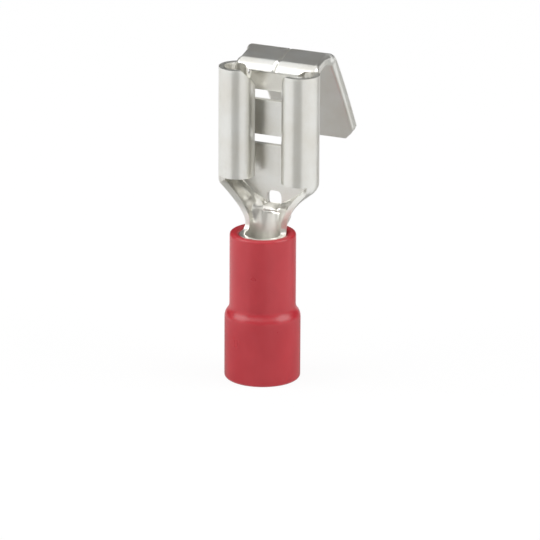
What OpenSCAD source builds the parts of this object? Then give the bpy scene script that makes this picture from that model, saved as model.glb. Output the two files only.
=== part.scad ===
// Piggyback spade terminal: one stamped and folded sheet-metal terminal in a moulded insulating sleeve.
// +Z runs up the wire axis from the sleeve's foot. The open side of the receptacle faces -Y and the
// folded spare blade hangs down behind it on the +Y side. All sizes are in millimetres.

/* [Sheet] */
// Thickness of the sheet metal
sheet_t = 0.4; // [0.3:0.05:0.5]

/* [Receptacle] */
// Overall width across the two rolled sides
recep_w = 7.7; // [7.2:0.1:8.6]
// Length of the rolled sides along the wire axis
recep_len = 8.1; // [7.2:0.1:9]
// Height of the rolled sides' lower ends above the sleeve's foot
recep_z = 14.7; // [14.2:0.1:16]
// Distance from the wire axis to the front face of the floor
floor_y = 1.95; // [1.85:0.05:2.2]
// Outer radius of each roll, from the floor round to the front
roll_r = 1.4; // [1.25:0.05:1.5]
// Outer radius of each roll, from the front round to its lip
lip_r = 1.3; // [1.15:0.05:1.4]
// How far each lip turns in past pointing straight at the floor, in degrees
lip_turn = 12; // [0:1:18]
// Height of the slanted lead-in cut at the top of each lip
lead_h = 1.4; // [0.8:0.1:2]
// Angle of the roll over which the lead-in cut runs down to the lip's edge
lead_turn = 65; // [45:1:75]
// Width of the two slots across the floor
slot_w = 4; // [3:0.1:4.4]
// Height of each slot
slot_h = 0.7; // [0.4:0.05:1]
// Distance between the centres of the two slots
slot_pitch = 3.3; // [2.4:0.1:4]
// Height of the middle of the slots above the rolled sides' lower ends
slot_mid = 4.2; // [3.4:0.1:4.6]

/* [Barrel and neck] */
// Outside diameter of the crimp barrel
barrel_d = 3.4; // [3:0.1:3.6]
// Length of the crimp barrel, up to its square mouth
barrel_len = 5.05; // [4.5:0.05:5.1]
// Radius of the sweep from the barrel's mouth up into the neck's edges
mouth_r = 0.65; // [0.4:0.05:0.75]
// Angle of the neck's trough to each side of its middle, where it leaves the barrel
trough_turn = 73; // [60:1:80]
// Angle of each roll that runs down into the neck's side walls
wall_turn = 135; // [110:1:150]
// Diameter of the sight hole in the neck
sight_d = 1.2; // [0.8:0.1:1.4]
// Distance from the rolled sides' lower ends down to the middle of the sight hole
sight_drop = 1.8; // [1.5:0.1:2]
// Distance from the middle of the sight hole down to the top of the neck's step
step_drop = 0.48; // [0.4:0.02:0.6]

/* [Strap and spare blade] */
// Width of the folded blade
blade_w = 6.3; // [5.8:0.1:6.6]
// Width of the single sheet that carries the strap up from the floor
root_w = 4.4; // [3.6:0.1:4.6]
// Gap that frees the strap's root from the rolled sides
relief_gap = 0.1; // [0.05:0.05:0.2]
// Height of the strap's top above the rolled sides' upper ends
strap_rise = 0.3; // [0.2:0.1:0.6]
// Inside radius of the bend from the floor into the strap
root_bend_r = 0.3; // [0.2:0.05:0.5]
// Angle that the folded flaps run round that bend
flap_turn = 68; // [50:1:72]
// Straight length of the strap between its two bends
strap_len = 2.9; // [2:0.1:4]
// Inside radius of the bend from the strap into the blade
blade_bend_r = 0.5; // [0.3:0.05:1]
// Lean of the blade away from the wire axis, in degrees
blade_lean = 30.3; // [20:0.1:40]
// Straight length of the blade
blade_len = 7.75; // [7:0.05:9]
// Length of the slanted corners at the blade's tip
corner_len = 1.1; // [0.6:0.1:1.6]
// Width of the slanted corners at the blade's tip
corner_w = 1; // [0.6:0.1:1.6]
// Size of the bevel on both faces of the tip
tip_bevel = 0.2; // [0.1:0.05:0.25]
// Radius of the blade's folded edges
fold_r = 0.25; // [0.1:0.05:0.35]
// Distance of the middle of the blade from the middle of the receptacle, to the right
blade_shift = -0.3; // [-0.4:0.1:0.4]
// Width of the groove where the two folded flaps meet
seam_w = 0.3; // [0.2:0.02:0.5]
// Depth of the groove where the two folded flaps meet
seam_h = 0.16; // [0.1:0.02:0.3]
// How far the two bends stand proud of the flat stretches, as the folded metal is squeezed there
bend_swell = 0.03; // [0.02:0.01:0.06]
// Width of the notch where the two flaps' cut corners meet over the root bend
notch_w = 0.9; // [0.6:0.1:1.2]
// Diameter of the detent hole in the blade
detent_d = 1.7; // [1.4:0.1:2]
// Distance from the blade's tip to the middle of the detent hole
detent_x = 4; // [3:0.1:5]

/* [Sleeve] */
// Overall length of the sleeve
sleeve_len = 10.95; // [10.6:0.05:11.2]
// Outside diameter of the wire end
foot_d = 5.5; // [5.2:0.1:6]
// Length of the wire end, up to the shoulder
foot_len = 4.85; // [4:0.05:4.9]
// Height of the sloping shoulder between the two diameters
shoulder_h = 0.5; // [0.3:0.05:0.7]
// Outside diameter of the barrel end
neck_d = 4.8; // [4.6:0.1:5.2]
// Diameter of the wire end's bore, for the wire with its insulation
entry_d = 4.2; // [3.8:0.1:4.4]
// Length of the wire end's bore
entry_len = 4.4; // [3.6:0.1:4.4]
// Radial clearance between the barrel and the sleeve
fit_gap = 0.03; // [0.01:0.01:0.1]
// Radial clearance of the funnel round the barrel's own bore
funnel_gap = 0.05; // [0.02:0.01:0.15]
// Height of the sleeve's inner seat, which the barrel's end stands on
seat_z = 5.6; // [5.4:0.05:5.8]
// Radius of the rounded edges at the foot and round the mouth
edge_r = 0.2; // [0.05:0.01:0.25]

/* [Hidden] */
$fn = 96;

// Steps of the neck's surface across the sheet and up each of its three stretches
neck_cols = 32;
neck_rows = 8;
// Amount by which a cutting shape runs past the face that it opens
over = 0.5;
// Share of the sheet's thickness by which the neck's ends are thinned where they sit inside the sheet
neck_thin = 0.25;
// Length of the neck that sits inside the rolled sides, and inside the barrel below its mouth
neck_lap = 0.25;
// Height over which the neck's ends thin down
thin_h = 0.4;
// Height above the barrel's mouth where the neck's cut edges begin to spread, and the power of their curve
edge_rise = 0.55;
flare_power = 1.65;
// Share of the sheet's half width, at each cut edge, over which the spread goes over to that of the edge
edge_share = 0.28;
// Share of the walls' spread that is reached above the barrel, and the height that it takes
waist_share = 0.14;
waist_h = 1;
// Height over which the walls take the rest of their spread
flare_h = 2.05;
// Radius of the middle of the sheet in the step's two bends, and their angle
step_r = 0.25;
step_turn = 55;
// Share of the sheet's half width that takes the whole step, and the share over which the step fades
step_share = 0.2;
step_fade = 0.3;
// Height by which the barrel's back tongue runs past the sweep of its mouth
tongue_h = 0.1;
// Amount by which that tongue reaches past the neck's cut edges
tongue_lap = 0.02;
// Length by which the flat stretches of the strap run into its bends
bend_lap = 0.1;
// Share of the groove's size that is left in the bends
bend_seam = 0.8;
// Points of a rounded edge in the sleeve's outline
edge_steps = 6;
// Step used to measure directions on the neck's surface
probe = 0.01;

recep_top = recep_z + recep_len;
roll_x = recep_w / 2 - roll_r;
roll_y = floor_y + sheet_t - roll_r;
roll_mid_r = roll_r - sheet_t / 2;
floor_mid_y = floor_y + sheet_t / 2;
lip_y = roll_y - (roll_r - lip_r);

barrel_r = barrel_d / 2;
bore_r = barrel_r - sheet_t;
barrel_mid_r = barrel_r - sheet_t / 2;
mouth_z = seat_z + barrel_len;

tongue_y = bore_r * cos(trough_turn) - tongue_lap;

neck_z = mouth_z - neck_lap;
flare_z = mouth_z + mouth_r + tongue_h;
edge_z = mouth_z + edge_rise;
sight_z = recep_z - sight_drop;
step_top = sight_z - step_drop;
step_d = floor_mid_y - barrel_mid_r;
step_bend_h = step_r * sin(step_turn);
step_bend_d = step_r * (1 - cos(step_turn));
step_h = 2 * step_bend_h + (step_d - 2 * step_bend_d) / tan(step_turn);
wall_run = roll_mid_r * wall_turn * PI / 180;

fold_t = 2 * sheet_t;
strap_top = recep_top + strap_rise;
root_y = floor_y + sheet_t + root_bend_r;
root_z = strap_top - fold_t - root_bend_r;
blade_turn = 90 - blade_lean;
blade_bend_y = root_y + strap_len;
blade_bend_z = strap_top - fold_t - blade_bend_r;

foot_r = foot_d / 2;
neck_r = neck_d / 2;
entry_r = entry_d / 2;
socket_r = barrel_r + fit_gap;
funnel_r = bore_r + funnel_gap;

function mix(a, b, k) = a + (b - a) * k;
function ease(k) = k <= 0 ? 0 : k >= 1 ? 1 : k * k * (3 - 2 * k);
function clamp(k) = k <= 0 ? 0 : k >= 1 ? 1 : k;
function side(u) = u < 0 ? -1 : 1;

// Middle of the sheet where the neck leaves the barrel, for u from -1 at the left edge to 1 at the right
function barrel_point(u) = barrel_mid_r * [sin(u * trough_turn), cos(u * trough_turn)];

// Middle of the sheet where the neck meets the floor and the rolled sides
function recep_point(u) =
    let (run = abs(u) * (roll_x + wall_run), a = (run - roll_x) / roll_mid_r * 180 / PI)
    run <= roll_x
        ? [u * (roll_x + wall_run), floor_mid_y]
        : [side(u) * (roll_x + roll_mid_r * sin(a)), roll_y + roll_mid_r * cos(a)];

// Share of the way from the barrel to the rolled sides that the walls and the cut edges have spread
function wall_spread(z) =
    waist_share * ease((z - flare_z) / waist_h) + (1 - waist_share) * ease(1 - (recep_z - z) / flare_h);
function edge_spread(z) = pow(clamp((z - edge_z) / (recep_z - sheet_t - edge_z)), flare_power);
function spread(u, z) = mix(wall_spread(z), edge_spread(z), ease((abs(u) - 1) / edge_share + 1));

// Share of the way back that the step's two bends have taken the middle of the sheet
function step_bend(h) = (step_r - sqrt(step_r * step_r - h * h)) / step_d;
function step_back(z) =
    let (down = step_top - z, up = step_h - down)
    down <= 0 ? 1
        : up <= 0 ? 0
        : down < step_bend_h ? 1 - step_bend(down)
        : up < step_bend_h ? step_bend(up)
        : (step_bend_d + (up - step_bend_h) * tan(step_turn)) / step_d;
function setback(u, z) =
    mix(step_back(z), ease((z - flare_z) / (recep_z - flare_z)), ease((abs(u) - step_share) / step_fade));

function neck_mid(u, z) =
    let (low = barrel_point(u), high = recep_point(u))
    [mix(low.x, high.x, spread(u, z)), mix(low.y, high.y, setback(u, z))];

// Thickness of the neck, a little less where its ends sit inside the barrel and the rolled sides
function neck_t(z) =
    let (at_barrel = 1 - ease((z - flare_z) / thin_h), at_rolls = ease((z - recep_z + thin_h) / thin_h))
    sheet_t * (1 - neck_thin * max(at_barrel, at_rolls));

// Point on the outer face (face = 1) or inner face (face = -1) of the neck
function neck_point(u, z, face) =
    let (
        along = neck_mid(u + probe, z) - neck_mid(u - probe, z),
        out = [-along.y, along.x] / norm(along),
        slope = (neck_mid(u, z + probe) - neck_mid(u, z - probe)) * out / (2 * probe),
        at = neck_mid(u, z) + out * face * neck_t(z) / 2 * sqrt(1 + slope * slope)
    )
    [at.x, at.y, z];

function arc_points(centre, r, from, to, steps = edge_steps) =
    [for (i = [0:steps]) let (a = mix(from, to, i / steps)) centre + r * [cos(a), sin(a)]];

// Turns a side view, drawn with x towards the back and y up, into place with its depth across the part
module from_side() {
    rotate(a = 120, v = [1, 1, 1]) children();
}

// Outline of the folded strap: two sheets with rounded folded edges, made larger all round by swell
function fold_outline(swell) =
    let (low = fold_r - swell, high = fold_t + swell - fold_r, half = blade_w / 2 + swell - fold_r)
    concat(
        arc_points([low, -half], fold_r, 180, 270),
        arc_points([high, -half], fold_r, 270, 360),
        arc_points([high, half], fold_r, 0, 90),
        arc_points([low, half], fold_r, 90, 180));

// Section of the folded strap, with a groove where the flaps meet
module fold_section(swell, seam) {
    difference() {
        polygon(fold_outline(swell));
        groove_section(seam * seam_w, seam * seam_h);
    }
}

// V-shaped groove in the upper face of the folded strap
module groove_section(w, h) {
    polygon([[fold_t - h, 0], [fold_t + h, w], [fold_t + h, -w]]);
}

// Flat stretch of folded strap along x, with its underside at y = 0
module fold_run(from, to) {
    translate([from, 0, 0]) rotate(a = 120, v = [1, 1, 1]) linear_extrude(height = to - from) fold_section(0, 1);
}

// Bend of the folded strap about the z axis
module fold_bend(r, turn) {
    rotate_extrude(angle = turn) translate([r, 0]) fold_section(bend_swell, bend_seam);
}

// Rolled sides and floor with their slots, lead-in cuts and the relief round the strap's root
module receptacle() {
    difference() {
        union() {
            translate([-roll_x, floor_y, recep_z]) cube([2 * roll_x, sheet_t, recep_len]);
            for (s = [0, 1]) mirror([s, 0, 0]) rolled_side();
        }
        for (s = [-1, 1])
            translate([-slot_w / 2, floor_y - over, recep_z + slot_mid + s * slot_pitch / 2 - slot_h / 2])
                cube([slot_w, sheet_t + 2 * over, slot_h]);
        translate([-root_w / 2 - relief_gap, floor_y - over, root_z])
            cube([root_w + 2 * relief_gap, sheet_t + 2 * over, recep_top - root_z + over]);
    }
}

// One rolled side: half a turn from the floor to the front, then a tighter turn to the lip
module rolled_side() {
    translate([roll_x, roll_y, recep_z]) rotate(-90) rotate_extrude(angle = 180)
        translate([roll_r - sheet_t, 0]) square([sheet_t, recep_len]);
    difference() {
        translate([roll_x, lip_y, recep_z]) mirror([0, 1, 0]) rotate(90) rotate_extrude(angle = 90 + lip_turn)
            translate([lip_r - sheet_t, 0]) square([sheet_t, recep_len]);
        translate([roll_x, lip_y, recep_top]) rotate(180 - lip_turn + lead_turn) from_side() lead_in_cut();
    }
}

// Wedge that slants the top of a lip, drawn from the line across the sheet where the slant begins
module lead_in_cut() {
    slope = lead_h / (lip_r * sin(lead_turn));
    linear_extrude(height = lip_r + over)
        polygon([[over, slope * over], [-lip_r, -slope * lip_r], [-lip_r, slope * over]]);
}

// Crimp barrel: a rolled tube with a butt seam down its front and a square mouth that sweeps up at the back
module barrel() {
    difference() {
        translate([0, 0, seat_z]) cylinder(r = barrel_r, h = flare_z - seat_z);
        translate([0, 0, seat_z - over]) cylinder(r = bore_r, h = flare_z - seat_z + 2 * over);
        from_side() linear_extrude(height = 2 * barrel_d, center = true) polygon(concat(
            [[-barrel_d, mouth_z]],
            arc_points([tongue_y - mouth_r, mouth_z + mouth_r], mouth_r, -90, 0),
            [[tongue_y, mouth_z + barrel_d], [-barrel_d, mouth_z + barrel_d]]));
        translate([0, -barrel_r, seat_z - over]) rotate(45)
            translate([-sheet_t / 4, -sheet_t / 4, 0]) cube([sheet_t / 2, sheet_t / 2, barrel_len + 2 * over]);
    }
}

// Neck: a trough that opens from the barrel to the floor and the rolled sides, with its sight hole
module neck() {
    stretches = [neck_z, step_top - step_h, step_top, recep_z];
    heights = concat([for (s = [0:2], i = [0:neck_rows - 1]) mix(stretches[s], stretches[s + 1], i / neck_rows)],
        [recep_z, recep_z + neck_lap]);
    rows = len(heights) - 1;
    ring = 2 * (neck_cols + 1);
    columns = [for (j = [0:neck_cols]) 2 * j / neck_cols - 1];
    points = [for (z = heights) each concat(
        [for (j = [0:neck_cols]) neck_point(columns[j], z, 1)],
        [for (j = [neck_cols:-1:0]) neck_point(columns[j], z, -1)])];
    walls = [for (i = [0:rows - 1], j = [0:ring - 1])
        let (a = i * ring + j, b = i * ring + (j + 1) % ring)
        each [[a, b, a + ring], [b, b + ring, a + ring]]];
    foot_cap = [for (j = [0:neck_cols - 1])
        let (k = ring - 1 - j) each [[j, k, j + 1], [j + 1, k, k - 1]]];
    head_cap = [for (j = [0:neck_cols - 1])
        let (a = rows * ring + j, k = rows * ring + ring - 1 - j) each [[a, a + 1, k], [a + 1, k - 1, k]]];
    difference() {
        polyhedron(points, concat(walls, foot_cap, head_cap));
        translate([0, 0, sight_z]) rotate([-90, 0, 0]) cylinder(d = sight_d, h = floor_y + roll_r);
    }
}

// Strap: up from the floor, back over the top, then down into the spare blade
module strap() {
    wing_w = (blade_w - root_w) / 2;
    difference() {
        from_side() union() {
            translate([root_y, root_z, 0]) root_bend();
            translate([root_y, root_z + root_bend_r, blade_shift]) fold_run(-bend_lap, strap_len + bend_lap);
            translate([blade_bend_y, blade_bend_z, blade_shift]) {
                rotate(90 - blade_turn) fold_bend(blade_bend_r, blade_turn);
                rotate(-blade_turn) translate([0, blade_bend_r, 0]) blade();
            }
        }
        for (s = [0, 1]) mirror([s, 0, 0])
            translate([root_w / 2, floor_y - sheet_t, root_z - over])
                cube([wing_w + over, 2 * sheet_t + relief_gap, recep_top + relief_gap - root_z + over]);
    }
}

// Bend from the floor into the strap: the single root sheet, and the flaps that run part of the way round it
module root_bend() {
    mirror([0, 1, 0]) rotate(180) rotate_extrude(angle = 90 - flap_turn / 2)
        translate([root_bend_r, -root_w / 2]) square([sheet_t, root_w]);
    translate([0, 0, blade_shift]) difference() {
        rotate(90) fold_bend(root_bend_r, flap_turn);
        rotate(90 + flap_turn / 3) rotate_extrude(angle = flap_turn)
            translate([root_bend_r, 0]) groove_section(notch_w / 2, sheet_t - relief_gap);
    }
}

// Spare blade along x: slanted corners and a bevelled tip, with its detent hole
module blade() {
    corner_a = atan2(corner_w, corner_len);
    cut_len = norm([corner_len, corner_w]) + 2 * over;
    difference() {
        fold_run(-bend_lap, blade_len);
        for (s = [0, 1]) mirror([0, 0, s])
            translate([blade_len - corner_len, -over, blade_w / 2]) rotate([0, corner_a, 0])
                translate([-over, 0, 0]) cube([cut_len, fold_t + 2 * over, corner_w]);
        for (s = [0, 1]) translate([blade_len, sheet_t, 0]) mirror([0, s, 0])
            translate([-tip_bevel, sheet_t, -blade_w]) rotate(-45)
                cube([2 * tip_bevel, tip_bevel, 2 * blade_w]);
        translate([blade_len - detent_x, -over, 0]) rotate([-90, 0, 0]) cylinder(d = detent_d, h = fold_t + 2 * over);
    }
}

module terminal() {
    color("silver") union() {
        barrel();
        neck();
        receptacle();
        strap();
    }
}

// Outline of the sleeve's wall, from the foot up the outside, over the mouth and down the inside
function sleeve_outline() = concat(
    arc_points([foot_r - edge_r, edge_r], edge_r, -90, 0),
    [[foot_r, foot_len], [neck_r, foot_len + shoulder_h]],
    arc_points([neck_r - edge_r, sleeve_len - edge_r], edge_r, 0, 90),
    arc_points([socket_r + edge_r, sleeve_len - edge_r], edge_r, 90, 180),
    [[socket_r, seat_z], [funnel_r, seat_z], [entry_r, entry_len], [entry_r, 0]]);

module insulating_sleeve() {
    color("firebrick") rotate_extrude() polygon(sleeve_outline());
}

terminal();
insulating_sleeve();
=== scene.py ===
"""Piggyback spade terminal: one folded sheet of tin-plated brass, crimp barrel down, in a red moulded sleeve."""

import logging
from dataclasses import dataclass, field
from enum import Enum
from math import atan2, ceil, cos, hypot, pi, radians, sin, sqrt, tan, tau
from typing import Callable, Iterator, Optional, Sequence

import bmesh
import bpy
from bpy.types import Material, Mesh, Node, NodeSocket, NodeTree, Object
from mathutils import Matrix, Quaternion, Vector


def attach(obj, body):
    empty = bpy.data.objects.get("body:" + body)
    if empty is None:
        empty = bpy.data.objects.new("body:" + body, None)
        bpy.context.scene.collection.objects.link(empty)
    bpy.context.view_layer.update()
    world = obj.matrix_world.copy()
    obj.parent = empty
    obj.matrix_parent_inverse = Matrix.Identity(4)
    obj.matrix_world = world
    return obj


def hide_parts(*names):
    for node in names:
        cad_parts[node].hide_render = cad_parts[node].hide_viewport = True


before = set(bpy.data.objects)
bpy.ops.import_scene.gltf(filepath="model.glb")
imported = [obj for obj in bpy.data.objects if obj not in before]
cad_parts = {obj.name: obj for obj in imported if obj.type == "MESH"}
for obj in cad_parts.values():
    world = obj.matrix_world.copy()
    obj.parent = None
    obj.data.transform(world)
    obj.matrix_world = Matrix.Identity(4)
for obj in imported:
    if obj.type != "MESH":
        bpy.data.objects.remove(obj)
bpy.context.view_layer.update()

LOG = logging.getLogger("terminal_scene")

MM = 0.001
# Faces that meet at more than this angle keep a crisp edge, and points that round to the same step weld.
SHARP_DEG = 40.0
WELD_PER_MM = 2000
Point = tuple[float, float, float]
Flat = tuple[float, float]


# Small sums


def mix(a: float, b: float, k: float) -> float:
    """Return the value a share k of the way from a to b."""
    return a + (b - a) * k


def clamp(value: float, low: float = 0.0, high: float = 1.0) -> float:
    """Return the value held between low and high."""
    return min(max(value, low), high)


def ease(k: float) -> float:
    """Return k held between 0 and 1 with a soft start and stop."""
    k = clamp(k)
    return k * k * (3.0 - 2.0 * k)


def linear(hex_colour: str) -> tuple[float, float, float, float]:
    """Turn an sRGB hex colour into the linear colour that a shader takes.

    Args:
        hex_colour: Six hex digits after a hash sign.

    Returns:
        Linear red, green and blue, with an alpha of 1.
    """
    parts = [int(hex_colour[i:i + 2], 16) / 255.0 for i in (1, 3, 5)]
    r, g, b = (c / 12.92 if c <= 0.04045 else ((c + 0.055) / 1.055) ** 2.4 for c in parts)
    return r, g, b, 1.0


def steps(stops: Sequence[float], pitch: float) -> list[float]:
    """Fill the stretches between stops with even steps.

    Args:
        stops: Rising values, which are all kept.
        pitch: Largest step wanted.

    Returns:
        The stops with even steps between them.
    """
    out = [stops[0]]
    for a, b in zip(stops, stops[1:]):
        n = max(1, ceil((b - a) / pitch - 1e-9))
        out += [mix(a, b, i / n) for i in range(1, n + 1)]
    return out


# Meshes


@dataclass
class SheetMesh:
    """Gathers faces in millimetres and welds the points that they share."""

    faces: list[tuple[int, ...]] = field(default_factory=list)
    known: dict[tuple[int, ...], tuple[int, Point]] = field(default_factory=dict)

    def point(self, p: Point) -> int:
        """Return the number of a point, adding it if no point lies within about half a micrometre."""
        key = tuple(round(c * WELD_PER_MM) for c in p)
        return self.known.setdefault(key, (len(self.known), p))[0]

    def face(self, corners: Sequence[Point]) -> None:
        """Add one face, leaving out corners that fall together."""
        loop = tuple(dict.fromkeys(self.point(c) for c in corners))
        if len(loop) > 2:
            self.faces.append(loop)

    def grid(self, rows: Sequence[Sequence[Point]], keep: Optional[Callable[[int, int], bool]] = None,
             closed: bool = False) -> None:
        """Add the quads of a grid.

        Args:
            rows: Rows of points of one length.
            keep: Says whether the cell at (row, column) is made; every cell is, without it.
            closed: Whether the last column joins the first.
        """
        width = len(rows[0])
        for i in range(len(rows) - 1):
            for j in range(width if closed else width - 1):
                if keep is None or keep(i, j):
                    k = (j + 1) % width
                    self.face((rows[i][j], rows[i][k], rows[i + 1][k], rows[i + 1][j]))

    def build(self, name: str) -> Object:
        """Make the object, in metres, with smooth faces that all point out.

        Args:
            name: The object's name.

        Returns:
            The object.
        """
        mesh = bpy.data.meshes.new(name)
        mesh.from_pydata([Vector(p) * MM for _, p in self.known.values()], [], self.faces)
        work = bmesh.new()
        work.from_mesh(mesh)
        bmesh.ops.recalc_face_normals(work, faces=work.faces)
        work.to_mesh(mesh)
        work.free()
        mesh.shade_smooth()
        piece = bpy.data.objects.new(name, mesh)
        bpy.context.scene.collection.objects.link(piece)
        return piece


def applied(piece: Object) -> Mesh:
    """Apply a piece's modifiers.

    Args:
        piece: The piece that is changed.

    Returns:
        Its new mesh.
    """
    mesh = bpy.data.meshes.new_from_object(piece.evaluated_get(bpy.context.evaluated_depsgraph_get()))
    piece.modifiers.clear()
    piece.data = mesh
    return mesh


def settle(piece: Object) -> None:
    """Apply a piece's modifiers and keep a crisp edge where faces meet at a large angle.

    Args:
        piece: The piece that is changed.
    """
    mesh = applied(piece)
    mesh.shade_smooth()
    mesh.set_sharp_from_angle(angle=radians(SHARP_DEG))


def flatten_shading(piece: Object) -> None:
    """Let the large faces rule a piece's shading, so that flat rims stay flat between their rounded edges."""
    piece.modifiers.new("shading", "WEIGHTED_NORMAL").keep_sharp = True
    applied(piece)


def soften_edges(piece: Object, width_mm: float, angle_deg: float) -> None:
    """Round a piece's edges, as shearing and tumbling leave them.

    Args:
        piece: The piece that is changed.
        width_mm: Width of the rounding.
        angle_deg: Faces that meet at more than this angle get it.
    """
    bevel = piece.modifiers.new("edge", "BEVEL")
    bevel.width = width_mm * MM
    bevel.segments = 3
    bevel.limit_method = "ANGLE"
    bevel.angle_limit = radians(angle_deg)


# Finishes


def add_node(tree: NodeTree, kind: str, links: Optional[dict] = None, inputs: Optional[dict] = None,
             **settings: object) -> Node:
    """Add a node with its settings, values and links.

    Args:
        tree: Its node tree.
        kind: Blender's name for the node.
        links: Input name or number to the output socket that feeds it.
        inputs: Input name or number to its value.
        settings: Other properties of the node.

    Returns:
        The node.
    """
    node = tree.nodes.new(kind)
    for name, value in settings.items():
        setattr(node, name, value)
    for name, value in (inputs or {}).items():
        node.inputs[name].default_value = value
    for name, socket in (links or {}).items():
        tree.links.new(socket, node.inputs[name])
    return node


def add_noise(tree: NodeTree, place: NodeSocket, size_mm: float, detail: float, roughness: float = 0.5) -> NodeSocket:
    """Add a noise pattern.

    Args:
        tree: Its node tree.
        place: The output with the coordinates.
        size_mm: Width of one cell of the pattern.
        detail: Number of finer patterns over it.
        roughness: Their strength.

    Returns:
        The pattern's output.
    """
    return add_node(tree, "ShaderNodeTexNoise", {"Vector": place},
                    {"Scale": 1.0 / (size_mm * MM), "Detail": detail, "Roughness": roughness}).outputs["Fac"]


def add_tint(tree: NodeTree, pattern: NodeSocket, ends: Sequence[tuple[float, str]]) -> NodeSocket:
    """Add a ramp between two colours.

    Args:
        tree: Its node tree.
        pattern: The output that chooses the colour.
        ends: The pattern's value and the sRGB hex colour at each end.

    Returns:
        The colour's output.
    """
    ramp = add_node(tree, "ShaderNodeValToRGB", {"Fac": pattern})
    for element, (value, colour) in zip(ramp.color_ramp.elements, ends):
        element.position = value
        element.color = linear(colour)
    return ramp.outputs["Color"]


def new_material(name: str) -> tuple[Material, NodeTree, Node]:
    """Make an empty node material.

    Args:
        name: Its name.

    Returns:
        The material, its node tree and its output node.
    """
    material = bpy.data.materials.new(name)
    material.use_nodes = True
    tree = material.node_tree
    tree.nodes.clear()
    return material, tree, tree.nodes.new("ShaderNodeOutputMaterial")


@dataclass(frozen=True)
class TinPlatedBrass:
    """Satin electro-tinned brass strip: a pale, slightly warm grey with blurred reflections and rolling lines."""

    # Where the plate is thinner, the brass under it warms the grey a little.
    bright: str = "#F6F6F2"
    warm: str = "#F0EEE7"
    cloud_mm: float = 2.5
    cloud_low: float = 0.35
    cloud_high: float = 0.65
    # The plate's crystals are about 0.02 mm; the matt ones scatter part of each reflection and lighten hollows.
    grain_mm: float = 0.02
    grain_edge: float = 0.59
    grain_soft: float = 0.02
    roughness_low: float = 0.28
    roughness_high: float = 0.80
    # Rolling lines on strip are about 0.02 mm apart; drawn at 0.12 mm so that they show.
    line_mm: float = 0.12
    line_len_mm: float = 3.0
    line_depth_mm: float = 0.002
    line_strength: float = 0.25

    def make(self) -> Material:
        """Return the material."""
        material, tree, out = new_material("tin_plated_brass_rolled_strip")
        place = add_node(tree, "ShaderNodeTexCoord").outputs["Object"]
        stretch = add_node(tree, "ShaderNodeMapping", {"Vector": place},
                           {"Scale": (1.0, 1.0, self.line_mm / self.line_len_mm)})
        lines = add_noise(tree, stretch.outputs["Vector"], self.line_mm, 3.0, 0.6)
        clouds = add_noise(tree, place, self.cloud_mm, 4.0, 0.55)
        grain = add_noise(tree, place, self.grain_mm, 1.0)
        tint = add_tint(tree, clouds, ((self.cloud_low, self.warm), (self.cloud_high, self.bright)))
        satin = add_node(tree, "ShaderNodeMapRange", {"Value": grain},
                         {"From Min": self.grain_edge - self.grain_soft, "From Max": self.grain_edge + self.grain_soft,
                          "To Min": self.roughness_low, "To Max": self.roughness_high})
        bump = add_node(tree, "ShaderNodeBump", {"Height": lines},
                        {"Strength": self.line_strength, "Distance": self.line_depth_mm * MM})
        shader = add_node(tree, "ShaderNodeBsdfPrincipled",
                          {"Base Color": tint, "Roughness": satin.outputs["Result"], "Normal": bump.outputs["Normal"]},
                          {"Metallic": 1.0})
        tree.links.new(shader.outputs["BSDF"], out.inputs["Surface"])
        return material


@dataclass(frozen=True)
class RedPvc:
    """Moulded soft PVC: an even, deep red with a half gloss and a little light under the surface."""

    deep: str = "#B62E38"
    pale: str = "#C2363F"
    cloud_mm: float = 3.0
    cloud_low: float = 0.3
    cloud_high: float = 0.7
    roughness: float = 0.31
    roughness_play: float = 0.05
    # Mould spark texture is about 0.03 mm; drawn at 0.15 mm so that it shows.
    grit_mm: float = 0.15
    grit_depth_mm: float = 0.0025
    grit_strength: float = 0.15
    ior: float = 1.53
    glow: float = 0.12
    glow_reach: Point = (0.0008, 0.0002, 0.0002)

    def make(self) -> Material:
        """Return the material."""
        material, tree, out = new_material("red_pvc_moulded")
        place = add_node(tree, "ShaderNodeTexCoord").outputs["Object"]
        clouds = add_noise(tree, place, self.cloud_mm, 3.0)
        grit = add_noise(tree, place, self.grit_mm, 2.0)
        tint = add_tint(tree, clouds, ((self.cloud_low, self.deep), (self.cloud_high, self.pale)))
        satin = add_node(tree, "ShaderNodeMapRange", {"Value": clouds},
                         {"From Min": self.cloud_low, "From Max": self.cloud_high,
                          "To Min": self.roughness - self.roughness_play,
                          "To Max": self.roughness + self.roughness_play})
        bump = add_node(tree, "ShaderNodeBump", {"Height": grit},
                        {"Strength": self.grit_strength, "Distance": self.grit_depth_mm * MM})
        shader = add_node(tree, "ShaderNodeBsdfPrincipled",
                          {"Base Color": tint, "Roughness": satin.outputs["Result"], "Normal": bump.outputs["Normal"]},
                          {"IOR": self.ior, "Subsurface Weight": self.glow, "Subsurface Radius": self.glow_reach,
                           "Subsurface Scale": 1.0})
        tree.links.new(shader.outputs["BSDF"], out.inputs["Surface"])
        return material


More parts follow.
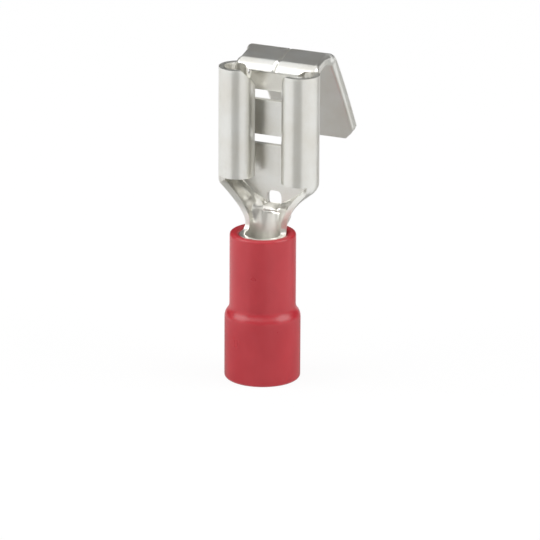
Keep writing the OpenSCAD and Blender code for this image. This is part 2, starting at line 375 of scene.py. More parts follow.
@dataclass(frozen=True)
class PaleBoard:
    """Matt white table board: plain, and held near white so that only the soft shadow shows."""

    colour: str = "#F4F4F4"
    lift: float = 0.92
    mirrored_light: float = 0.8

    def make(self) -> Material:
        """Return the material."""
        material, tree, out = new_material("white_table_board")
        path = add_node(tree, "ShaderNodeLightPath")
        mirrored = add_node(tree, "ShaderNodeMath", {0: path.outputs["Is Glossy Ray"],
                                                     1: path.outputs["Is Transmission Ray"]}, operation="MAXIMUM")
        seen = add_node(tree, "ShaderNodeMath", {0: path.outputs["Is Camera Ray"], 1: mirrored.outputs["Value"]},
                        operation="MAXIMUM")
        share = add_node(tree, "ShaderNodeMath", {0: seen.outputs["Value"]}, {1: self.lift}, operation="MULTIPLY")
        board = add_node(tree, "ShaderNodeBsdfDiffuse", inputs={"Color": linear(self.colour)})
        level = add_node(tree, "ShaderNodeMapRange", {"Value": mirrored.outputs["Value"]},
                         {"To Min": 1.0, "To Max": self.mirrored_light})
        glow = add_node(tree, "ShaderNodeEmission", {"Strength": level.outputs["Result"]})
        both = add_node(tree, "ShaderNodeMixShader",
                        {0: share.outputs["Value"], 1: board.outputs["BSDF"], 2: glow.outputs["Emission"]})
        tree.links.new(both.outputs["Shader"], out.inputs["Surface"])
        return material


# The pieces


def stand_in(piece: Object, material: Material, node: str) -> None:
    """Give a piece its finish and put it in the place of a node.

    Args:
        piece: The visible piece.
        material: Its finish.
        node: The node that it stands for.
    """
    piece.data.materials.append(material)
    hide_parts(node)
    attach(piece, "root")
    LOG.info("%s: %d faces in place of %s", piece.name, len(piece.data.polygons), node)


@dataclass
class SheetTerminal:
    """The stamped sheet from barrel to receptacle, as the middle of its thickness, with sizes in millimetres."""

    sheet_t: float = 0.4
    # Receptacle: a floor, two rolled sides and lips with a slanted lead-in
    recep_w: float = 7.7
    recep_len: float = 8.1
    recep_z: float = 14.7
    floor_y: float = 1.95
    roll_r: float = 1.4
    lip_r: float = 1.3
    lip_turn: float = 12.0
    lead_h: float = 1.4
    lead_turn: float = 65.0
    slot_w: float = 4.0
    slot_h: float = 0.7
    slot_pitch: float = 3.3
    slot_mid: float = 4.2
    # Barrel, with its back dished in at the mouth
    barrel_d: float = 3.4
    barrel_len: float = 5.2
    barrel_z: float = 5.6
    mouth_r: float = 0.36
    seam_gap_deg: float = 0.7
    dish: float = 0.52
    dish_h: float = 2.3
    dish_drop: float = 0.4
    dish_reach: float = 3.91
    dish_fade: float = 1.2
    dish_power: float = 1.5
    # Neck, from the barrel's trough out to the rolls
    trough_turn: float = 73.0
    wall_turn: float = 135.0
    waist_share: float = 0.14
    waist_h: float = 1.0
    flare_h: float = 2.05
    edge_rise: float = 0.55
    edge_power: float = 1.65
    edge_share: float = 0.28
    floor_share: float = 0.52
    floor_h: float = 1.8
    floor_drop: float = 0.22
    middle_share: float = 0.6
    # Step in the neck, with a line pressed under it
    step_h: float = 0.38
    step_r: float = 0.2
    crest_r: float = 0.14
    step_turn: float = 70.0
    step_back: float = 0.22
    step_share: float = 0.28
    step_fade: float = 0.16
    step_widen_h: float = 0.6
    line_w: float = 0.8
    line_t: float = 0.06
    line_h: float = 0.12
    line_drop: float = 0.5
    line_taper: float = 2.5
    # Sight hole, a little square, with its foot on the step
    sight_d: float = 1.2
    sight_drop: float = 1.8
    sight_power: float = 3.0
    sight_narrow: float = 0.94
    sight_sink: float = 0.03
    sight_clear: float = 0.18
    # Root of the strap
    root_w: float = 4.4
    relief_gap: float = 0.1
    root_y: float = 2.65
    root_z: float = 22.0
    root_bend_r: float = 0.3
    root_end: float = 100.0
    root_lean: float = 14.0
    # Mesh
    sheet: SheetMesh = field(default_factory=SheetMesh)
    edge_mm: float = 0.1
    edge_deg: float = 55.0
    pitch: float = 0.11
    row_pitch: float = 0.2
    step_reach: float = 0.6
    step_pitch: float = 0.03
    turn_pitch: float = 3.0
    barrel_rows: int = 36
    root_rows: int = 12
    hole_rings: Point = (0.34, 0.67, 1.0)
    hole_column: float = 0.9

    def __post_init__(self) -> None:
        """Work out the sizes that follow from the others."""
        # Axes of the rolls, and radii of rolls, lips and barrel at the middle of the sheet
        self.roll_x = self.recep_w / 2 - self.roll_r
        self.roll_y = self.floor_y + self.sheet_t - self.roll_r
        self.roll_mid = self.roll_r - self.sheet_t / 2
        self.lip_mid = self.lip_r - self.sheet_t / 2
        self.barrel_mid = (self.barrel_d - self.sheet_t) / 2
        # Runs of sheet in half a turn of a roll, and from the floor's middle to a lip and to the neck's cut edge
        self.roll_run = pi * self.roll_mid
        self.half_run = self.roll_x + self.roll_run + radians(90 + self.lip_turn) * self.lip_mid
        self.wall_run = self.roll_x + radians(self.wall_turn) * self.roll_mid
        # Heights of the rolls' upper ends, the barrel's front rim, the sight hole, the step and the slots' edges
        self.top_z = self.recep_z + self.recep_len
        self.barrel_top = self.barrel_z + self.barrel_len
        self.sight_z = self.recep_z - self.sight_drop
        self.step_z = self.sight_z - self.step_h
        mids = [self.recep_z + self.slot_mid + side * self.slot_pitch / 2 for side in (-1, 1)]
        self.slots = [(mid - self.slot_h / 2, mid + self.slot_h / 2) for mid in mids]

    def recep_point(self, s: float) -> Flat:
        """Return a point of the receptacle's section.

        Args:
            s: Run of sheet from the middle of the floor.

        Returns:
            Its x and y.
        """
        side, run = (-1.0 if s < 0 else 1.0), abs(s)
        if run <= self.roll_x:
            return s, self.floor_y + self.sheet_t / 2
        r, y, a = self.roll_mid, self.roll_y, (run - self.roll_x) / self.roll_mid
        if run > self.roll_x + self.roll_run:
            r, y = self.lip_mid, self.roll_y - (self.roll_r - self.lip_r)
            a = pi + (run - self.roll_x - self.roll_run) / r
        return side * (self.roll_x + r * sin(a)), y + r * cos(a)

    def rim_z(self, s: float) -> float:
        """Return the height of the receptacle's top edge, which slants down along the lips."""
        start = self.half_run - radians(self.lead_turn) * self.lip_mid
        return self.top_z - self.lead_h * max(0.0, (abs(s) - start) / (self.half_run - start))

    def lean(self, s: float, z: float) -> float:
        """Return how far the floor leans back above its upper slot, between the rolls."""
        over = max(0.0, min(z, self.root_z) - self.slots[1][1])
        return ease((self.roll_x - abs(s)) / (self.roll_x - self.slot_w / 2)) * tan(radians(self.root_lean)) * over

    def row_z(self, s: float, z: float) -> float:
        """Return a row's height, with the upper rows closed up to follow the slanted rim."""
        start = self.slots[1][0] - self.slot_h
        return z if z <= start else start + (z - start) * ((self.rim_z(s) - start) / (self.top_z - start))

    def recep_at(self, s: float, z: float) -> Point:
        """Return the receptacle's point at a run of sheet s, in the row that starts out at the height z."""
        x, y = self.recep_point(s)
        return x, y + self.lean(s, z), self.row_z(s, z)

    def barrel_point(self, turn_deg: float, z: float) -> Flat:
        """Return a point of the barrel, with its back dished in at the mouth.

        Args:
            turn_deg: Turn from the barrel's back.
            z: Height.

        Returns:
            Its x and y.
        """
        r, a, top = self.barrel_mid, radians(turn_deg), self.step_z - self.dish_drop
        dish = self.dish * clamp((top - z) / self.dish_h) - self.step_back
        dish *= ease((z - top + self.dish_reach) / self.dish_fade)
        return r * sin(a), r * cos(a) - dish * max(0.0, cos(a)) ** self.dish_power

    def mouth_z(self, turn_deg: float) -> float:
        """Return the height of the barrel's square mouth, which sweeps up into the trough's edges."""
        into = self.barrel_mid * (cos(radians(turn_deg)) - cos(radians(self.trough_turn))) + self.mouth_r
        return self.barrel_top + self.mouth_r - sqrt(self.mouth_r ** 2 - clamp(into, 0.0, self.mouth_r) ** 2)

    def spread(self, u: float, z: float) -> float:
        """Return how far the neck has opened.

        Args:
            u: Place across, from -1 to 1.
            z: Height.

        Returns:
            The share of the way from the barrel to the rolls.
        """
        waist = self.waist_share * ease((z - self.barrel_top - self.mouth_r) / self.waist_h)
        wall = waist + (1 - self.waist_share) * ease(1 - (self.recep_z - z) / self.flare_h)
        start = self.barrel_top + self.edge_rise
        edge = clamp((z - start) / (self.recep_z - self.sheet_t - start)) ** self.edge_power
        level = clamp((z - self.step_z + self.floor_drop) / self.floor_h)
        inner = mix(level, wall, ease((abs(u) - self.floor_share) / (1 - self.edge_share - self.floor_share)))
        return mix(inner, edge, ease((abs(u) - 1) / self.edge_share + 1))

    def step(self, z: float) -> float:
        """Return how far the neck's floor has stepped back, through two tight bends.

        Args:
            z: Height.

        Returns:
            The share of the step's depth.
        """
        depth = self.floor_y + self.sheet_t - self.barrel_d / 2 - self.step_back
        a, r, c = radians(self.step_turn), self.step_r, self.crest_r
        bend_h, bend_d = r * sin(a), r * (1 - cos(a))
        rise = (depth - bend_d - c * (1 - cos(a))) / tan(a)
        down = self.step_z - z
        if down <= 0:
            return 1.0
        if down < bend_h:
            return 1.0 - (r - sqrt(r * r - down * down)) / depth
        if down < bend_h + rise:
            return 1.0 - (bend_d + (down - bend_h) * tan(a)) / depth
        left = bend_h + rise + c * sin(a) - down
        return (c - sqrt(c * c - left * left)) / depth if left > 0 else 0.0

    def neck_point(self, u: float, z: float) -> Point:
        """Return a point of the neck.

        Args:
            u: Place across, from -1 to 1.
            z: Height.

        Returns:
            The point.
        """
        low, high = self.barrel_point(u * self.trough_turn, z), self.recep_point(u * self.wall_run)
        slow = ease(1 - (self.recep_z - z) / (self.recep_z - self.barrel_top - self.mouth_r))
        flat = mix(self.step_share, self.floor_share, ease((z - self.step_z) / self.step_widen_h))
        back = mix(self.step(z), slow, ease((abs(u) - flat) / self.step_fade))
        x = mix(low[0], high[0], self.spread(u, z))
        off = min(1.0, abs(z - self.step_z + self.line_drop) / self.line_h)
        line = self.line_t * cos(pi / 2 * off) ** 2 * ease(self.line_taper * (1 - abs(x) / self.line_w))
        return x, mix(low[1], high[1], back) + line, z

    def neck_at(self, x: float, z: float) -> Point:
        """Find a point of the neck by halving the stretch that it lies in.

        Args:
            x: Place across.
            z: Height.

        Returns:
            The point.
        """
        a, b = -self.middle_share, self.middle_share
        for _ in range(40):
            m = (a + b) / 2
            a, b = (m, b) if self.neck_point(m, z)[0] < x else (a, m)
        return self.neck_point((a + b) / 2, z)

    def columns(self, reach: float) -> list[float]:
        """Return the runs of sheet at which the grid has columns.

        Args:
            reach: How far they go on both sides.

        Returns:
            The runs, from left to right.
        """
        stops = [0.0, self.hole_column, self.slot_w / 2, self.root_w / 2, self.root_w / 2 + self.relief_gap,
                 self.roll_x, self.wall_run]
        if reach > self.wall_run:
            stops += [self.roll_x + self.roll_run, reach]
        right = steps(stops, self.pitch)
        return [-s for s in right[:0:-1]] + right

    def add_receptacle(self) -> None:
        """Add the floor and the rolled sides, with the slots and the relief beside the strap's root."""
        cols, slots = self.columns(self.half_run), self.slots
        levels = steps([self.recep_z, *slots[0], *slots[1], self.root_z, self.top_z], self.row_pitch)

        def keep(i: int, j: int) -> bool:
            """Say whether the cell at row i and column j is outside the slots and the relief."""
            x, z = abs(cols[j] + cols[j + 1]) / 2, (levels[i] + levels[i + 1]) / 2
            return not ((x < self.slot_w / 2 and any(a < z < b for a, b in slots))
                        or (x < self.root_w / 2 + self.relief_gap and z > self.root_z))

        self.sheet.grid([[self.recep_at(s, z) for s in cols] for z in levels], keep)

    def add_root(self) -> None:
        """Add the single sheet that bends from the floor up into the folded strap."""
        cols = [s for s in self.columns(self.wall_run) if abs(s) <= self.root_w / 2 + 1e-9]
        r = self.root_bend_r + self.sheet_t / 2
        turns = [radians(mix(180, self.root_end, i / self.root_rows)) for i in range(self.root_rows + 1)]
        self.sheet.grid([[(s, self.root_y + r * cos(a) + self.lean(s, self.root_z), self.root_z + r * sin(a))
                          for s in cols] for a in turns])

    def add_neck(self) -> None:
        """Add the trough from the barrel to the receptacle, with its sight hole."""
        us = [s / self.wall_run for s in self.columns(self.wall_run)]
        fine = self.step_z - self.step_reach
        levels = (steps([self.mouth_z(0.0), fine], self.pitch) + steps([fine, self.step_z], self.step_pitch)[1:]
                  + steps([self.step_z, self.recep_z], self.pitch)[1:])
        rows = [[self.neck_point(u, z) for u in us] for z in levels]
        reach = self.sight_d / 2 + self.sight_clear
        near = [(i, j) for i, row in enumerate(rows) for j, p in enumerate(row)
                if hypot(p[0], p[2] - self.sight_z) < reach]
        (i0, i1), (j0, j1) = ((min(n), max(n)) for n in zip(*near))
        self.sheet.grid(rows, lambda i, j: not (i0 <= i < i1 and j0 <= j < j1))
        self.add_sight_hole([rows[i0][j] for j in range(j0, j1)] + [rows[i][j1] for i in range(i0, i1)]
                            + [rows[i1][j] for j in range(j1, j0, -1)] + [rows[i][j0] for i in range(i1, i0, -1)])

    def add_sight_hole(self, loop: list[Point]) -> None:
        """Fill the neck with rings from a loop of its points in to the sight hole.

        Args:
            loop: The points round the gap that the neck's grid leaves.
        """
        rings, n = [loop], self.sight_power
        for k in self.hole_rings:
            ring = []
            for p in loop:
                a = atan2(p[2] - self.sight_z, p[0])
                far = self.sight_d / 2 * (abs(cos(a)) ** n + abs(sin(a)) ** n) ** (-1 / n)
                z = max(self.sight_z + far * sin(a), self.step_z - self.sight_sink)
                ring.append(self.neck_at(mix(p[0], self.sight_narrow * far * cos(a), k), mix(p[2], z, k)))
            rings.append(ring)
        self.sheet.grid(rings, closed=True)

    def add_barrel(self) -> None:
        """Add the rolled barrel, from the trough round to the butt seam down its front."""
        back = [s / self.wall_run * self.trough_turn for s in self.columns(self.wall_run)]
        right = steps([self.trough_turn, 180 - self.seam_gap_deg], self.turn_pitch)[1:]
        turns = [-t for t in right[::-1]] + back + right
        rows = []
        for i in range(self.barrel_rows + 1):
            heights = [mix(self.barrel_z, self.mouth_z(t), i / self.barrel_rows) for t in turns]
            rows.append([(*self.barrel_point(t, z), z) for t, z in zip(turns, heights)])
        self.sheet.grid(rows)

    def build(self) -> Object:
        """Return the whole sheet at its full thickness, with its cut edges eased."""
        self.add_receptacle()
        self.add_root()
        self.add_neck()
        self.add_barrel()
        piece = self.sheet.build("terminal_sheet")
        thick = piece.modifiers.new("thickness", "SOLIDIFY")
        thick.thickness = self.sheet_t * MM
        thick.offset = 0.0
        thick.use_even_offset = thick.use_quality_normals = True
        soften_edges(piece, self.edge_mm, self.edge_deg)
        settle(piece)
        flatten_shading(piece)
        return piece

    def dress(self, material: Material) -> None:
        """Build the sheet with its finish, in the place of the terminal's solid."""
        stand_in(self.build(), material, "terminal")


@dataclass(frozen=True)
class Station:
    """One place along the strap, with lengths in millimetres."""

    # Depth and height of the underside, and its slope in degrees
    y: float
    z: float
    heading: float
    # Length left to the tip, half the width, and the place across
    left: float
    half: float
    shift: float
    # From 0 to 1: how far the seam opens, how round the folded edges are, and the share of the front bend
    gape: float = 0.0
    swell: float = 0.0
    bend: float = 0.0


@dataclass
class FoldedBlade:
    """The strap over the top and the spare blade, folded double from the sheet, with sizes in millimetres."""

    sheet_t: float = 0.4
    blade_w: float = 6.3
    top_z: float = 22.8
    # Front bend, whose outer wings stop short above the rolled sides
    strap_rise: float = 0.3
    root_y: float = 2.65
    root_bend_r: float = 0.3
    flap_turn: float = 68.0
    wing_turn: float = 47.0
    wing_from: float = 1.85
    wing_to: float = 2.45
    # Strap, rear bend and blade
    strap_len: float = 2.9
    blade_bend_r: float = 0.5
    blade_lean: float = 30.3
    blade_len: float = 7.75
    corner_len: float = 1.1
    corner_w: float = 1.0
    tip_bevel: float = 0.2
    # The strap lies a little askew
    front_shift: float = 0.04
    rear_shift: float = -0.55
    blade_shift: float = -0.2
    # Folded edges, which swell at the bends
    fold_r: float = 0.25
    fold_slack: float = 0.005
    strap_waist: float = -0.05
    front_bulge: float = 0.08
    rear_bulge: float = 0.28
    front_swell: float = 0.4
    rear_swell: float = 0.6
    rear_from: float = 0.6
    bulge_fade: float = 4.0
    swell_fade: float = 1.5
    # Seam between the flaps, which gapes at the bends
    seam_w: float = 0.3
    seam_h: float = 0.16
    notch_w: float = 0.36
    notch_deep: float = 0.6
    gape_in: float = 0.3
    gape_end: float = 0.85
    gape_out: float = 0.5
    # Detent hole
    detent_d: float = 1.7
    detent_x: float = 4.0
    detent_over: float = 0.5
    # Mesh
    edge_mm: float = 0.06
    edge_deg: float = 50.0
    pitch: float = 0.25
    front_rows: int = 20
    rear_rows: int = 18
    top_points: int = 33
    seam_points: tuple[float, ...] = (0.0, 0.35, 0.7, 1.0)
    seam_margin: float = 0.05
    fold_steps: int = 8
    hole_steps: int = 48

    def __post_init__(self) -> None:
        """Work out the sizes that follow from the others."""
        self.half_w = self.blade_w / 2
        self.fold_t = 2 * self.sheet_t
        # Axes of the two bends with the flat underside between them, and the rear turn in degrees
        self.root_z = self.top_z + self.strap_rise - self.fold_t - self.root_bend_r
        self.flat_z = self.root_z + self.root_bend_r
        self.rear_y = self.root_y + self.strap_len
        self.rear_turn = 90 - self.blade_lean

    def half_at(self, bulge: float, share: float) -> float:
        """Return half the strap's width at a share of a bend's bulge."""
        return mix(self.half_w + self.strap_waist, self.half_w + bulge, share)

    def section(self, at: Station) -> list[Flat]:
        """Return the loop of (across, up) points of the folded section.

        Args:
            at: The station that it is for.

        Returns:
            The loop, from the groove over the right side and back under the left side.
        """
        r = mix(self.fold_r, self.fold_t / 2 - self.fold_slack, at.swell)
        flat = at.half - r
        groove_w = mix(self.seam_w, self.notch_w, at.gape) / 2
        groove_h = self.seam_h * (1 + self.notch_deep * at.gape)
        top = [k * groove_w for k in self.seam_points]
        rest = self.top_points - len(top)
        top += [mix(self.notch_w / 2 + self.seam_margin, flat, i / (rest - 1)) for i in range(rest)]
        right_top = [(x, self.fold_t - groove_h * (1 - ease(x / groove_w))) for x in top]
        n = self.fold_steps
        turns = [(self.fold_t - r, i / n) for i in range(1, n + 1)] + [(r, i / n) for i in range(n, 2 * n)]
        edge = [(flat + r * sin(pi / 2 * k), up + r * cos(pi / 2 * k)) for up, k in turns]
        right = right_top + edge + [(x, 0.0) for x in reversed(top)]
        return right + [(-x, y) for x, y in reversed(right[1:-1])]

    def front_bend(self) -> Iterator[Station]:
        """Yield the stations from the flaps' ends back to the flat top."""
        for i in range(self.front_rows + 1):
            k = 1 - i / self.front_rows
            swell = ease(k / self.front_swell)
            gape = ease(k / self.gape_in) * ease((self.gape_end - k) / self.gape_out)
            yield Station(self.root_y, self.flat_z, 0.0, self.blade_len, self.half_at(self.front_bulge, swell),
                          self.front_shift, gape, swell, k)

    def flat_top(self) -> Iterator[Station]:
        """Yield the stations along the strap's flat top."""
        for y in steps([self.root_y, self.rear_y], self.pitch)[1:]:
            k = (y - self.root_y) / self.strap_len
            swell = self.rear_swell * ease((k - self.rear_from) / (1 - self.rear_from))
            yield Station(y, self.flat_z, 0.0, self.blade_len, self.half_at(self.rear_bulge, swell),
                          mix(self.front_shift, self.rear_shift, k), swell=swell)

    def rear_bend(self) -> Iterator[Station]:
        """Yield the stations round the rear bend."""
        axis_z = self.flat_z - self.blade_bend_r
        for i in range(1, self.rear_rows + 1):
            k = i / self.rear_rows
            a = radians(90 - self.rear_turn * k)
            wide = mix(self.rear_swell, 1.0, sin(pi / 2 * min(1.0, 2 * k)))
            yield Station(self.rear_y + self.blade_bend_r * cos(a), axis_z + self.blade_bend_r * sin(a),
                          -self.rear_turn * k, self.blade_len, self.half_at(self.rear_bulge, wide), self.rear_shift,
                          gape=sin(pi * k) ** 2, swell=mix(self.rear_swell, 1.0, sin(pi * k)))

    def blade(self, start: Station) -> Iterator[Station]:
        """Yield the stations down the blade.

        Args:
            start: The rear bend's last station.

        Returns:
            The stations after it, to the tip.
        """
        h = radians(-self.rear_turn)
        stops = [0.0, self.blade_len - self.corner_len, self.blade_len - self.tip_bevel, self.blade_len]
        for d in steps(stops, self.pitch)[1:]:
            k = ease(d / self.bulge_fade)
            yield Station(start.y + d * cos(h), start.z + d * sin(h), -self.rear_turn, self.blade_len - d,
                          mix(self.half_w + self.rear_bulge, self.half_w, k), mix(self.rear_shift, self.blade_shift, k),
                          swell=self.rear_swell * ease(1 - d / self.swell_fade))

    def path(self) -> list[Station]:
        """Return the stations along the strap, from the flaps' ends to the blade's tip."""
        out = [*self.front_bend(), *self.flat_top(), *self.rear_bend()]
        return [*out, *self.blade(out[-1])]

    def row(self, at: Station) -> list[Point]:
        """Return the section's points in their place, cut back at the tip's corners and bevel.

        Args:
            at: The station that they are for.

        Returns:
            The points, in the section's order.
        """
        h = radians(at.heading)
        reach = at.half - self.corner_w * max(0.0, 1 - at.left / self.corner_len)
        nip = max(0.0, self.tip_bevel - at.left)
        out = []
        for x, up in self.section(at):
            x, up = clamp(x, -reach, reach) + at.shift, clamp(up, nip, self.fold_t - nip)
            flat = (x, at.y - up * sin(h), at.z + up * cos(h))
            out.append(self.flap_point(x, up, at.bend) if at.bend > 0 else flat)
        return out

    def flap_point(self, x: float, up: float, bend: float) -> Point:
        """Return a point of the front bend, whose wings stop short above the rolled sides.

        Args:
            x: Place across the strap.
            up: Height over the strap's underside.
            bend: Share of the bend.

        Returns:
            The point.
        """
        wing = ease((abs(x) - self.wing_from) / (self.wing_to - self.wing_from))
        a = radians(90 + mix(self.flap_turn, self.wing_turn, wing) * bend)
        r = self.root_bend_r + up
        return x, self.root_y + r * cos(a), self.root_z + r * sin(a)

    def close_end(self, body: SheetMesh, loop: Sequence[Point]) -> None:
        """Close one end of the strap with cells from its top to its underside and a rounded face at each side.

        Args:
            body: The mesh that they go in.
            loop: The section's points there.
        """
        half, top = len(loop) // 2 + 1, self.top_points
        for order in (loop[:half], [loop[0], *loop[:half - 2:-1]]):
            for i in range(top - 1):
                body.face((order[i], order[i + 1], order[half - 2 - i], order[half - 1 - i]))
            body.face(order[top - 1:half - top + 1])

    def pierce(self, piece: Object) -> None:
        """Punch the round detent hole through the blade.

        Args:
            piece: The piece that is changed.
        """
        tip = self.path()[-1]
        h = radians(tip.heading)
        y, z = tip.y - self.detent_x * cos(h), tip.z - self.detent_x * sin(h)
        punch = SheetMesh()
        rings = []
        for up in (-self.detent_over, self.fold_t + self.detent_over):
            ring = []
            for i in range(self.hole_steps):
                a = tau * i / self.hole_steps
                x, d = self.detent_d / 2 * cos(a), self.detent_d / 2 * sin(a)
                ring.append((x + self.blade_shift, y + d * cos(h) - up * sin(h), z + d * sin(h) + up * cos(h)))
            rings.append(ring)
            punch.face(ring)
        punch.grid(rings, closed=True)
        tool = punch.build("punch")
        step = piece.modifiers.new(tool.name, "BOOLEAN")
        step.operation = "DIFFERENCE"
        step.solver = "EXACT"
        step.object = tool
        settle(piece)
        bpy.data.objects.remove(tool)

    def build(self) -> Object:
        """Return the strap and blade as one closed piece, with its tip cut and its detent hole made."""
        rows = [self.row(at) for at in self.path()]
        body = SheetMesh()
        body.grid(rows, closed=True)
        self.close_end(body, rows[0])
        self.close_end(body, rows[-1])
        piece = body.build("folded_blade")
        soften_edges(piece, self.edge_mm, self.edge_deg)
        settle(piece)
        self.pierce(piece)
        flatten_shading(piece)
        return piece

    def dress(self, material: Material) -> None:
        """Build the strap and blade with their finish, in the place of the terminal's solid."""
        stand_in(self.build(), material, "terminal")


@dataclass
class InsulatingSleeve:
    """The moulded sleeve, turned about the wire axis, with sizes in millimetres."""

    sleeve_len: float = 10.95
    foot_r: float = 2.75
    foot_len: float = 4.85
    shoulder_h: float = 0.5
    neck_r: float = 2.4
    entry_r: float = 2.1
    entry_len: float = 4.4
    socket_r: float = 1.73
    funnel_r: float = 1.35
    seat_z: float = 5.6
    # Rounding of the corners
    edge_r: float = 0.24
    mouth_r: float = 0.38
    shoulder_r: float = 0.25
    seat_r: float = 0.02
    funnel_edge_r: float = 0.1
    entry_edge_r: float = 0.03
    # Mesh
    arc_steps: int = 6
    turns: int = 160
    sharp_deg: float = 60.0

    def outline(self) -> list[Point]:
        """Return the corners of the wall's section as (radius, height, rounding)."""
        return [
            (self.foot_r, 0.0, self.edge_r),
            (self.foot_r, self.foot_len, self.shoulder_r),
            (self.neck_r, self.foot_len + self.shoulder_h, self.shoulder_r),
            (self.neck_r, self.sleeve_len, self.edge_r),
            (self.socket_r, self.sleeve_len, self.mouth_r),
            (self.socket_r, self.seat_z, self.seat_r),
            (self.funnel_r, self.seat_z, self.seat_r),
            (self.entry_r, self.entry_len, self.funnel_edge_r),
            (self.entry_r, 0.0, self.entry_edge_r),
        ]

    def rounded(self) -> list[Flat]:
        """Return the section's loop with its corners rounded."""
        corners = self.outline()
        out = []
        for i, (r, z, e) in enumerate(corners):
            here = Vector((r, z))
            before = (Vector(corners[i - 1][:2]) - here).normalized()
            after = (Vector(corners[(i + 1) % len(corners)][:2]) - here).normalized()
            a, b = here + before * e, here + after * e
            for k in range(self.arc_steps + 1):
                t = k / self.arc_steps
                p = a * (1 - t) ** 2 + here * 2 * t * (1 - t) + b * t ** 2
                out.append((p.x, p.y))
        return out

    def build(self) -> Object:
        """Return the sleeve."""
        loop = self.rounded()
        rows = []
        for i in range(self.turns + 1):
            a = tau * (i % self.turns) / self.turns
            rows.append([(r * cos(a), r * sin(a), z) for r, z in loop])
        body = SheetMesh()
        body.grid(rows, closed=True)
        piece = body.build("moulded_sleeve")
        piece.data.set_sharp_from_angle(angle=radians(self.sharp_deg))
        return piece

    def dress(self, material: Material) -> None:
        """Build the sleeve with its finish, in the place of its solid."""
        stand_in(self.build(), material, "insulating_sleeve")


# The studio


class Side(Enum):
    """Which side a soft box stands on, as a direction from the object."""

    LEFT = (-0.70, -0.42, 0.58)
    RIGHT = (0.80, 0.18, 0.57)
    FRONT_TOP = (-0.10, -0.60, 1.0)


@dataclass(frozen=True)
class SoftBox:
    """A square soft box on one side of the object, with lengths in metres and its power in watts."""

    side: Side
    distance: float
    size: float
    power: float

    def place(self, aim: Vector) -> None:
        """Put the lamp in the scene, pointed at the object.

        Args:
            aim: The place that it points at.
        """
        lamp = bpy.data.lights.new(f"soft_box_{self.side.name.lower()}", "AREA")
        lamp.shape = "RECTANGLE"
        lamp.size = lamp.size_y = self.size
        lamp.energy = self.power
        holder = bpy.data.objects.new(lamp.name, lamp)
        towards = Vector(self.side.value).normalized()
        holder.location = aim + towards * self.distance
        holder.rotation_euler = towards.to_track_quat("Z", "Y").to_euler()
        bpy.context.scene.collection.objects.link(holder)


@dataclass(frozen=True)
class MirrorCards:
    """Glowing cards that only the bright metal sees, as painted reflections, with lengths in metres and turns in
    degrees from the front.
    """

    # grey: painted shade, seen only in the metal's reflections, for the shadowed table round the foot and the darker
    # room in front.
    grey: str = "#ADADAB"
    # white: painted highlight, seen only in the metal's reflections.
    white: str = "#F0F0EE"
    # The grey card lies round the foot, as a painted shadow of the terminal on the table, and reaches out in two
    # sectors of painted shade, each a middle turn and a half width.
    near: float = 0.016
    far: float = 0.16
    sectors: tuple[Flat, ...] = ((10.0, 28.0), (155.0, 15.0))
    lift: float = 0.0002
    # A grey panel of painted shade stands at its front edge, with low white cards of painted highlight on both sides.
    panel_turn: float = 17.0
    panel_half: float = 14.0
    panel_h: float = 0.09
    white_half: float = 95.0
    white_h: float = 0.058
    foot: float = 0.001

    def spot(self, turn_deg: float, reach: float) -> Flat:
        """Return the x and y, in millimetres, of a place at a turn and a distance."""
        a = radians(turn_deg)
        return reach / MM * sin(a), -reach / MM * cos(a)

    def stand(self, card: SheetMesh, feet: Sequence[Flat], height: float) -> None:
        """Stand a strip of card on a row of feet."""
        card.grid([[(*p, z / MM) for p in feet] for z in (self.foot, height)])

    def add_grey(self) -> None:
        """Lay the grey card of painted shade and stand its panel."""
        card = SheetMesh()
        rim = []
        for turn in range(0, 360, 5):
            inside = any(abs((turn - mid + 180.0) % 360.0 - 180.0) <= half for mid, half in self.sectors)
            rim.append((*self.spot(turn, self.far if inside else self.near), self.lift / MM))
        for here, after in zip(rim, rim[1:] + rim[:1]):
            card.face([(0.0, 0.0, self.lift / MM), here, after])
        feet = [self.spot(self.panel_turn + side * self.panel_half, self.far) for side in (-1, 1)]
        self.stand(card, feet, self.panel_h)
        self.hang(card, "painted_shade_card", self.grey)

    def add_white(self) -> None:
        """Stand the white cards of painted highlight beside the panel."""
        card = SheetMesh()
        for side in (-1, 1):
            halves = [mix(self.panel_half, self.white_half, i / 6) for i in range(7)]
            self.stand(card, [self.spot(self.panel_turn + side * half, self.far) for half in halves], self.white_h)
        self.hang(card, "painted_highlight_card", self.white)

    def hang(self, card: SheetMesh, name: str, colour: str) -> None:
        """Make a glowing card of painted reflection that lights nothing and is seen only in the metal.

        Args:
            card: Its faces.
            name: Its name.
            colour: Its sRGB hex colour.
        """
        piece = card.build(name)
        material, tree, out = new_material(f"{name}_paper")
        painted_reflection = add_node(tree, "ShaderNodeEmission", inputs={"Color": linear(colour)})
        tree.links.new(painted_reflection.outputs["Emission"], out.inputs["Surface"])
        piece.data.materials.append(material)
        piece.visible_camera = piece.visible_diffuse = piece.visible_shadow = False


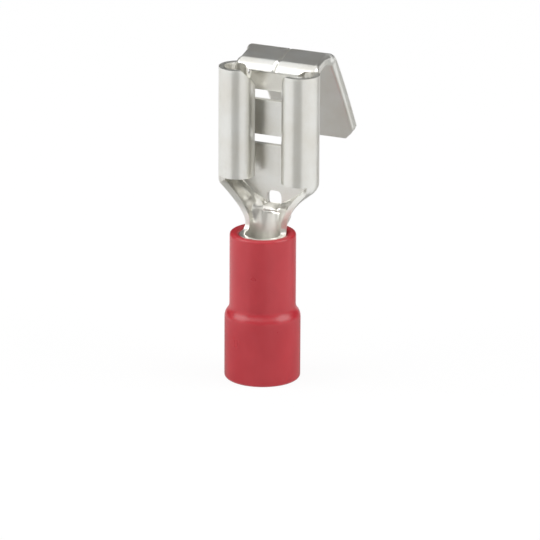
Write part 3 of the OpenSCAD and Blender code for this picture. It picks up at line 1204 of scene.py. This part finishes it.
@dataclass
class Studio:
    """The table, the lamps and a long lens, with lengths in metres."""

    # Camera, at the photograph's angle
    azimuth: float = 24.5
    elevation: float = 18.2
    distance: float = 0.45
    frame_width: float = 0.03913
    roll: float = 0.3
    aim_right: float = 0.000522
    aim_up: float = 0.007645
    floor_half: float = 3.0
    # Room: dark up to one height of the sky and bright from another
    dark_to: float = 0.46
    bright_from: float = 0.66
    low_light: float = 0.02
    top_light: float = 0.85
    # Lamps
    light_aim: Point = (0.0, 0.002, 0.012)
    boxes: tuple[SoftBox, ...] = (
        SoftBox(Side.LEFT, 0.40, 0.30, 0.85),
        SoftBox(Side.RIGHT, 0.40, 0.30, 0.85),
        SoftBox(Side.FRONT_TOP, 0.45, 0.34, 0.20),
    )

    def add_camera(self) -> None:
        """Set the camera at the photograph's angle, with its frame on the object."""
        a, e = radians(self.azimuth), radians(self.elevation)
        out = Vector((sin(a) * cos(e), -cos(a) * cos(e), sin(e)))
        right = Vector((cos(a), sin(a), 0.0))
        aim = right * self.aim_right + out.cross(right) * self.aim_up
        lens = bpy.data.cameras.new("long_lens")
        lens.lens = lens.sensor_width * self.distance / self.frame_width
        lens.clip_start, lens.clip_end = 0.01, 10.0
        camera = bpy.data.objects.new("camera", lens)
        camera.location = aim + out * self.distance
        camera.rotation_mode = "QUATERNION"
        tilt = Quaternion((0.0, 0.0, 1.0), radians(self.roll))
        camera.rotation_quaternion = out.to_track_quat("Z", "Y") @ tilt
        bpy.context.scene.collection.objects.link(camera)
        bpy.context.scene.camera = camera

    def add_floor(self) -> None:
        """Lay the table board under the sleeve's foot."""
        f = self.floor_half / MM
        board = SheetMesh()
        board.face([(-f, -f, 0.0), (f, -f, 0.0), (f, f, 0.0), (-f, f, 0.0)])
        floor = board.build("table_board")
        floor.data.materials.append(PaleBoard().make())

    def add_light(self) -> None:
        """Hang the soft boxes in a room that is dark near the horizon and bright overhead."""
        for box in self.boxes:
            box.place(Vector(self.light_aim))
        world = bpy.data.worlds.new("room")
        bpy.context.scene.world = world
        world.use_nodes = True
        tree = world.node_tree
        tree.nodes.clear()
        place = add_node(tree, "ShaderNodeTexCoord")
        parts = add_node(tree, "ShaderNodeSeparateXYZ", {"Vector": place.outputs["Generated"]})
        height = add_node(tree, "ShaderNodeMapRange", {"Value": parts.outputs["Z"]},
                          {"From Min": self.dark_to, "From Max": self.bright_from, "To Min": self.low_light,
                           "To Max": self.top_light}, interpolation_type="SMOOTHSTEP")
        room = add_node(tree, "ShaderNodeBackground", {"Strength": height.outputs["Result"]},
                        {"Color": (1.0, 1.0, 1.0, 1.0)})
        add_node(tree, "ShaderNodeOutputWorld", {"Surface": room.outputs["Background"]}, is_active_output=True)

    def build(self) -> None:
        """Make the whole studio and set the plain view."""
        bpy.context.scene.view_settings.view_transform = "Standard"
        self.add_camera()
        self.add_floor()
        cards = MirrorCards()
        cards.add_grey()
        cards.add_white()
        self.add_light()


def main() -> None:
    """Build the studio, then each piece with its finish."""
    logging.basicConfig(level=logging.INFO, format="%(name)s: %(message)s")
    Studio().build()
    tin = TinPlatedBrass().make()
    SheetTerminal().dress(tin)
    FoldedBlade().dress(tin)
    InsulatingSleeve().dress(RedPvc().make())


if __name__ == "__main__":
    main()
